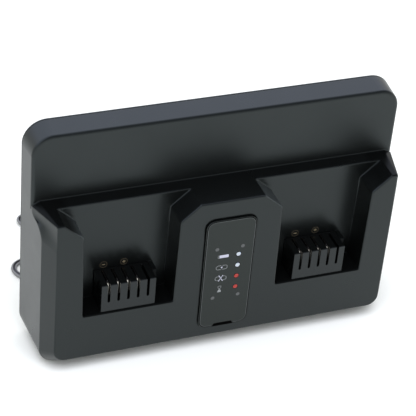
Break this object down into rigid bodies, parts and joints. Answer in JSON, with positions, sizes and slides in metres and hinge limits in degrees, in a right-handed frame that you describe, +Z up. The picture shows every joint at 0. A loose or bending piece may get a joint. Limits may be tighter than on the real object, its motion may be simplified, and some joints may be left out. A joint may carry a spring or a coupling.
{
  "type": "dual battery charger",
  "caption": "Black dual bay charger for slide-in battery packs: upright plate, chamfered block, slotted terminal blocks, status panel and a flat cord",
  "frame": {"origin": "bottom centre of the charger without its cord, where its feet stand", "axes": "X along the width, to the right seen from the front; Z up; the front faces -Y and the wall side faces +Y"},
  "size_m": [0.2898, 0.2156, 0.1929],
  "materials": {
    "case_abs": "moulded black, fine satin grain",
    "panel_abs": "moulded black, smooth",
    "clear_lens": "moulded milky clear",
    "red_lens": "moulded milky red",
    "terminal_nylon": "glass filled nylon, moulded",
    "blade_metal": "nickel plated spring strip",
    "board_laminate": "green solder mask",
    "plated_screw": "zinc plated",
    "ferrite": "sintered, dark grey",
    "winding_tape": "yellow polyester tape",
    "bobbin_nylon": "moulded",
    "can_sleeve": "shrunk sleeve",
    "fuse_glass": "clear tube",
    "clip_metal": "tinned brass strip",
    "sink_aluminium": "extruded, plain",
    "transistor_epoxy": "moulded",
    "wire_cover": "red wire cover",
    "ribbon_cover": "grey flat lead",
    "foot_rubber": "moulded",
    "cord_pvc": "soft black cover",
    "tie_strip": "flat strip"
  },
  "bodies": {
    "root": {"front_cover": "case_abs", "rear_cover": "case_abs", "status_panel": "panel_abs", "led_full": "clear_lens", "led_charging": "clear_lens", "led_fault": "red_lens", "led_wait": "red_lens", "status_board": "board_laminate", "status_screws": "plated_screw", "main_board": "board_laminate", "board_screws": "plated_screw", "transformer_core": "ferrite", "transformer_winding": "winding_tape", "transformer_bobbin": "bobbin_nylon", "input_capacitors": "can_sleeve", "output_capacitors": "can_sleeve", "choke": "winding_tape", "fuse": "fuse_glass", "fuse_clips": "clip_metal", "heat_sink_left": "sink_aluminium", "heat_sink_right": "sink_aluminium", "power_transistors": "transistor_epoxy", "ribbon_cable": "ribbon_cover", "terminal_block_left": "terminal_nylon", "terminal_block_right": "terminal_nylon", "contacts_left": "blade_metal", "contacts_right": "blade_metal", "contact_wires_left": "wire_cover", "contact_wires_right": "wire_cover", "block_screws": "plated_screw", "case_screws": "plated_screw", "rubber_feet": "foot_rubber", "strain_relief": "cord_pvc", "inner_lead": "cord_pvc", "cord_tail": "cord_pvc", "cord_hank": "cord_pvc", "cord_tie": "tie_strip", "plug_lead": "cord_pvc", "plug_body": "cord_pvc", "plug_pins": "blade_metal"}
  },
  "joints": []
}
